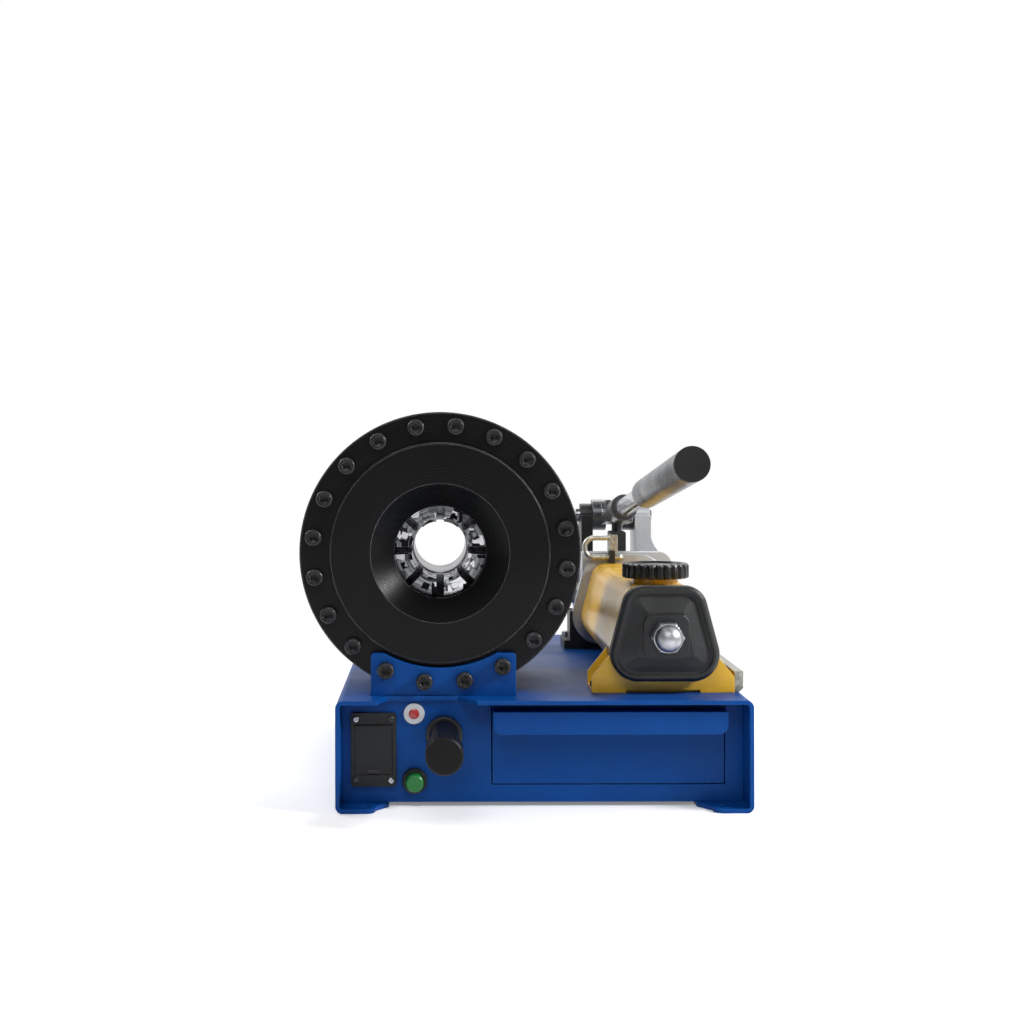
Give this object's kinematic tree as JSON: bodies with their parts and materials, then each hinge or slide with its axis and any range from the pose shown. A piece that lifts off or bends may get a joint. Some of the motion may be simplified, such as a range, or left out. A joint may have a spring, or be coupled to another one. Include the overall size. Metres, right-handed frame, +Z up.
{
  "type": "hose crimping machine",
  "caption": "Bench hose crimper: sheet steel base with drawer and controls, ring head with sliding die shoes, and a lever hand pump.",
  "frame": {"origin": "centre of the four foot bolts, on the surface that the machine stands on", "axes": "+X to the operator's right, +Y to the rear along the head's axis, +Z up"},
  "size_m": [0.427, 0.6507, 0.375],
  "materials": {
    "blue_paint": "semi-gloss powder coat",
    "black_steel": "satin black oxide",
    "screw_black": "black oxide",
    "bright_steel": "ground steel",
    "die_steel": "hardened tool steel",
    "cast_aluminium": "as cast",
    "yellow_paint": "gloss enamel",
    "black_plastic": "moulded",
    "zinc_steel": "zinc plated",
    "seal_rubber": "nitrile",
    "white_plastic": "moulded",
    "red_lens": "clear red",
    "green_plastic": "moulded",
    "battery_case": "coated can"
  },
  "bodies": {
    "frame": {"base_wrap": "blue_paint", "front_plate": "blue_paint", "drawer_runners": "zinc_steel", "front_flange": "black_steel", "cylinder_barrel": "black_steel", "guide_tube": "bright_steel", "flange_screws": "screw_black", "head_foot": "blue_paint", "battery_housing": "black_plastic", "battery_cells": "battery_case", "panel_screws": "bright_steel", "indicator_bezel": "white_plastic", "indicator_lens": "red_lens", "button_body": "black_plastic", "knob_bush": "black_steel", "limit_switch": "black_plastic", "reservoir": "yellow_paint", "reservoir_end_cap": "black_plastic", "tie_bolt": "bright_steel", "pump_saddle": "yellow_paint", "pump_bolts": "zinc_steel", "pump_foot": "black_steel", "pump_head": "cast_aluminium", "fulcrum_lug": "black_steel", "pivot_pin": "bright_steel", "plunger_gland": "black_steel", "side_bar": "zinc_steel", "pressure_pipe": "zinc_steel", "pipe_clip": "black_plastic", "pressure_hose": "seal_rubber"},
    "piston": {"piston": "bright_steel", "piston_seal": "seal_rubber"},
    "diameter_knob": {"diameter_knob": "black_plastic"},
    "stop_spindle": {"stop_spindle": "bright_steel"},
    "drawer": {"drawer": "blue_paint"},
    "start_button": {"button_cap": "green_plastic"},
    "battery_door": {"battery_door": "black_plastic"},
    "fill_cap": {"fill_cap": "black_plastic"},
    "lever": {"lever_yoke": "cast_aluminium", "link_pin": "bright_steel", "lever_rod": "zinc_steel", "grip_plug": "black_plastic"},
    "pump_plunger": {"pump_plunger": "bright_steel"},
    "release_knob": {"release_knob": "black_plastic"},
    "shoe_1": {"die_shoe_1": "die_steel", "die_1": "die_steel"},
    "shoe_2": {"die_shoe_2": "die_steel", "die_2": "die_steel"},
    "shoe_3": {"die_shoe_3": "die_steel", "die_3": "die_steel"},
    "shoe_4": {"die_shoe_4": "die_steel", "die_4": "die_steel"},
    "shoe_5": {"die_shoe_5": "die_steel", "die_5": "die_steel"},
    "shoe_6": {"die_shoe_6": "die_steel", "die_6": "die_steel"},
    "shoe_7": {"die_shoe_7": "die_steel", "die_7": "die_steel"},
    "shoe_8": {"die_shoe_8": "die_steel", "die_8": "die_steel"}
  },
  "joints": [
    {"name": "piston_slide", "type": "slide", "parent": "frame", "child": "piston", "axis": [0, -1, 0], "range_m": [0, 0.028]},
    {"name": "shoe_1_slide", "type": "slide", "parent": "frame", "child": "shoe_1", "axis": [-0.4619, -0.866, -0.1913], "range_m": [0, 0.01617]},
    {"name": "shoe_2_slide", "type": "slide", "parent": "frame", "child": "shoe_2", "axis": [-0.1913, -0.866, -0.4619], "range_m": [0, 0.01617]},
    {"name": "shoe_3_slide", "type": "slide", "parent": "frame", "child": "shoe_3", "axis": [0.1913, -0.866, -0.4619], "range_m": [0, 0.01617]},
    {"name": "shoe_4_slide", "type": "slide", "parent": "frame", "child": "shoe_4", "axis": [0.4619, -0.866, -0.1913], "range_m": [0, 0.01617]},
    {"name": "shoe_5_slide", "type": "slide", "parent": "frame", "child": "shoe_5", "axis": [0.4619, -0.866, 0.1913], "range_m": [0, 0.01617]},
    {"name": "shoe_6_slide", "type": "slide", "parent": "frame", "child": "shoe_6", "axis": [0.1913, -0.866, 0.4619], "range_m": [0, 0.01617]},
    {"name": "shoe_7_slide", "type": "slide", "parent": "frame", "child": "shoe_7", "axis": [-0.1913, -0.866, 0.4619], "range_m": [0, 0.01617]},
    {"name": "shoe_8_slide", "type": "slide", "parent": "frame", "child": "shoe_8", "axis": [-0.4619, -0.866, 0.1913], "range_m": [0, 0.01617]},
    {"name": "knob_turn", "type": "hinge", "parent": "frame", "child": "diameter_knob", "pos_m": [-0.0935, -0.26, 0.0687], "axis": [0, -1, 0], "range_deg": [-1080, 1080]},
    {"name": "spindle_slide", "type": "slide", "parent": "frame", "child": "stop_spindle", "axis": [0, 1, 0], "range_m": [-0.00599, 0.00599]},
    {"name": "drawer_slide", "type": "slide", "parent": "frame", "child": "drawer", "axis": [0, -1, 0], "range_m": [0, 0.28]},
    {"name": "button_press", "type": "slide", "parent": "frame", "child": "start_button", "axis": [0, 1, 0], "range_m": [0, 0.004], "stiffness_N_per_m": 600, "springref_m": -0.001},
    {"name": "battery_door_hinge", "type": "hinge", "parent": "frame", "child": "battery_door", "pos_m": [-0.1605, -0.2302, 0.07665], "axis": [-1, 0, 0], "range_deg": [0, 100]},
    {"name": "fill_cap_turn", "type": "hinge", "parent": "frame", "child": "fill_cap", "pos_m": [0.117, -0.16, 0.2116], "axis": [0, 0, 1], "range_deg": [0, 720]},
    {"name": "lever_hinge", "type": "hinge", "parent": "frame", "child": "lever", "pos_m": [0.117, 0.22, 0.258], "axis": [-1, 0, 0], "range_deg": [-8, 42]},
    {"name": "plunger_slide", "type": "slide", "parent": "frame", "child": "pump_plunger", "axis": [0, 0, 1], "range_m": [-0.0053, 0.0272]},
    {"name": "release_turn", "type": "hinge", "parent": "frame", "child": "release_knob", "pos_m": [0.073, 0.217, 0.182], "axis": [-1, 0, 0], "range_deg": [0, 270]}
  ],
  "couplings": [
    {"joint": "shoe_1_slide", "follows": "piston_slide", "ratio": 0.57735},
    {"joint": "shoe_2_slide", "follows": "piston_slide", "ratio": 0.57735},
    {"joint": "shoe_3_slide", "follows": "piston_slide", "ratio": 0.57735},
    {"joint": "shoe_4_slide", "follows": "piston_slide", "ratio": 0.57735},
    {"joint": "shoe_5_slide", "follows": "piston_slide", "ratio": 0.57735},
    {"joint": "shoe_6_slide", "follows": "piston_slide", "ratio": 0.57735},
    {"joint": "shoe_7_slide", "follows": "piston_slide", "ratio": 0.57735},
    {"joint": "shoe_8_slide", "follows": "piston_slide", "ratio": 0.57735},
    {"joint": "knob_turn", "follows": "spindle_slide", "rad_per_m": 3141.6},
    {"joint": "plunger_slide", "follows": "lever_hinge", "m_per_rad": 0.037}
  ]
}
